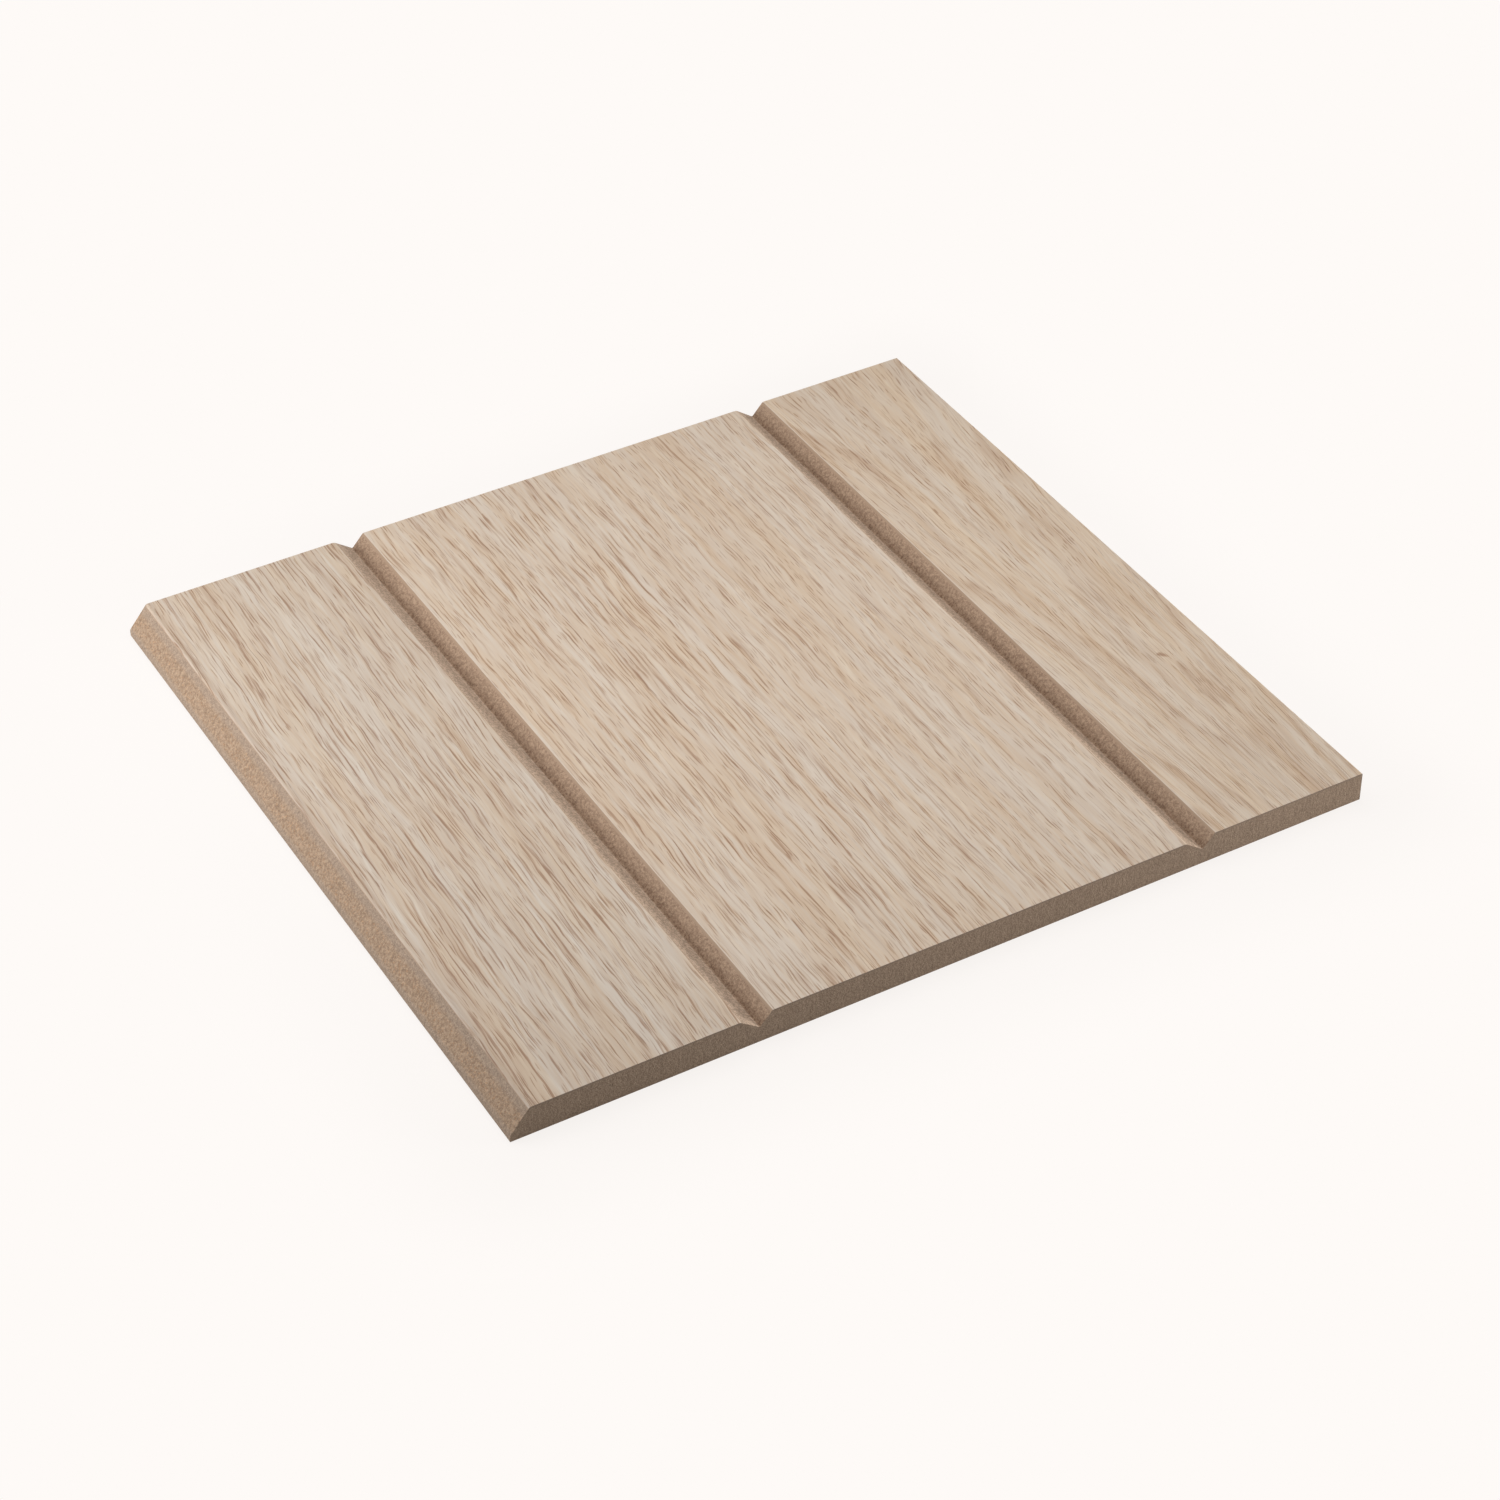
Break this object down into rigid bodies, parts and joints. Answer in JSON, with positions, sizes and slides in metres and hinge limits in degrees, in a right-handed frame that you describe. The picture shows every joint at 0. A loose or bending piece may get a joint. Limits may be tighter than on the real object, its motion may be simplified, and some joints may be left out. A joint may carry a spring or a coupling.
{
  "type": "v-groove wall panel",
  "caption": "Flat wall panel of oak-veneered fibreboard with V-grooves along its length that mimic separate boards, one bevelled long edge and one square long edge.",
  "frame": {"origin": "centre of the panel's back face, which is the face it lies on", "axes": "+X across the grooves from the bevelled long edge to the square long edge, +Y along the grooves, +Z out of the veneered show face"},
  "size_m": [0.286, 0.263, 0.01],
  "materials": {
    "oak_veneer": "matte",
    "mdf": "matte"
  },
  "bodies": {
    "root": {"mdf_core": "mdf", "veneer_strip_1": "oak_veneer", "veneer_strip_2": "oak_veneer", "veneer_strip_3": "oak_veneer"}
  },
  "joints": []
}
